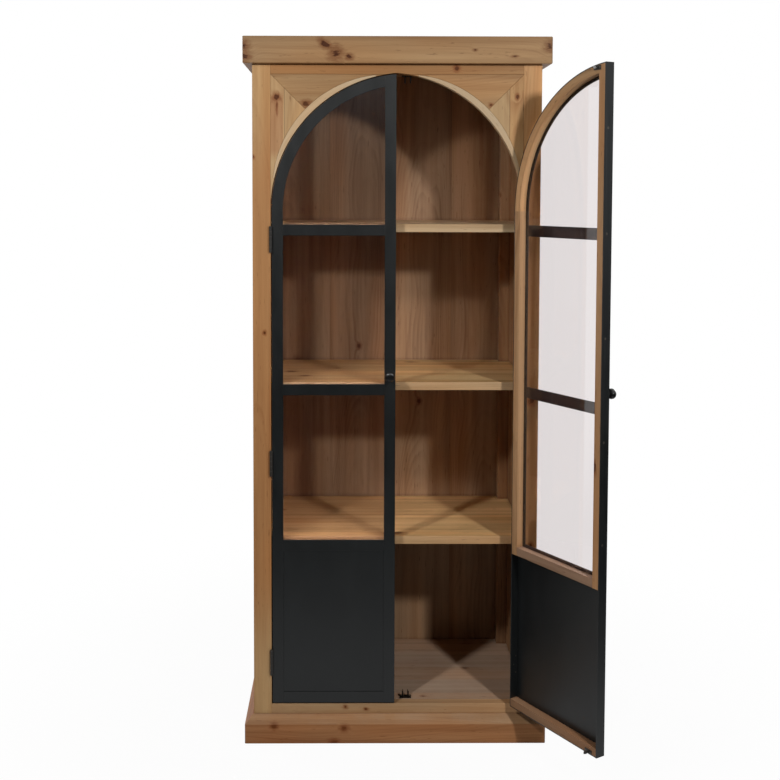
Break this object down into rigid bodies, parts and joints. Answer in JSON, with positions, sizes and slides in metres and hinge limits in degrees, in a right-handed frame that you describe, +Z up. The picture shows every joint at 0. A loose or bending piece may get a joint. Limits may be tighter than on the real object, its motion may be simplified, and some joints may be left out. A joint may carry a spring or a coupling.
{
  "type": "display cabinet",
  "caption": "Freestanding timber display cabinet with an arched face frame, open shelves and a pair of arched steel and glass doors that swing on butt hinges.",
  "frame": {"origin": "on the floor at the centre of the plinth's footprint", "axes": "+X to the right seen from the front, front faces -Y, +Z up"},
  "size_m": [1.0326, 0.831, 2.1],
  "materials": {
    "pine": "waxed knotty pine",
    "back_wood": "waxed pine panel",
    "pale_wood": "pale sanded pine",
    "door_wood": "sanded pine",
    "black_steel": "satin black",
    "knob": "gloss black",
    "hardware": "dark satin",
    "screws": "dulled steel",
    "glass": "clear"
  },
  "bodies": {
    "cabinet": {"arch_fillers": "pale_wood", "back_panel": "back_wood", "bottom_rail": "pine", "cabinet_hinge_leaves": "hardware", "cabinet_screws": "screws", "catch_clips": "hardware", "cornice_front": "pine", "cornice_left": "pine", "cornice_right": "pine", "floor_board": "pine", "haunch_boards": "pine", "head_rail": "pine", "hinge_pins": "hardware", "inner_head_rail": "pine", "plinth_front": "pine", "plinth_left": "pine", "plinth_right": "pine", "rear_posts": "pine", "rear_rail": "pine", "shelf_high": "pine", "shelf_low": "pine", "shelf_middle": "pine", "side_panel_left": "pine", "side_panel_right": "pine", "spandrel_boards": "pine", "stile_left": "pine", "stile_right": "pine", "top_board": "pine"},
    "left_door": {"left_door_arch_bar": "black_steel", "left_door_bottom_bar": "black_steel", "left_door_bottom_batten": "door_wood", "left_door_glass": "glass", "left_door_glazing_bars": "black_steel", "left_door_hinge_leaves": "hardware", "left_door_hinge_stile": "black_steel", "left_door_knob": "knob", "left_door_liner_arch": "door_wood", "left_door_liner_bottom": "door_wood", "left_door_liner_hinge_side": "door_wood", "left_door_liner_meeting_side": "door_wood", "left_door_lower_panel": "black_steel", "left_door_meeting_stile": "black_steel", "left_door_screws": "screws", "left_door_strikes": "hardware"},
    "right_door": {"right_door_arch_bar": "black_steel", "right_door_bottom_bar": "black_steel", "right_door_bottom_batten": "door_wood", "right_door_glass": "glass", "right_door_glazing_bars": "black_steel", "right_door_hinge_leaves": "hardware", "right_door_hinge_stile": "black_steel", "right_door_knob": "knob", "right_door_liner_arch": "door_wood", "right_door_liner_bottom": "door_wood", "right_door_liner_hinge_side": "door_wood", "right_door_liner_meeting_side": "door_wood", "right_door_lower_panel": "black_steel", "right_door_meeting_stile": "black_steel", "right_door_screws": "screws", "right_door_strikes": "hardware"}
  },
  "joints": [
    {"name": "left_door_hinge", "type": "hinge", "parent": "cabinet", "child": "left_door", "pos_m": [-0.3705, -0.23905, 0.843], "axis": [0, 0, -1], "range_deg": [0, 175]},
    {"name": "right_door_hinge", "type": "hinge", "parent": "cabinet", "child": "right_door", "pos_m": [0.3705, -0.23905, 0.843], "axis": [0, 0, 1], "range_deg": [-121.5, 53.5]}
  ]
}
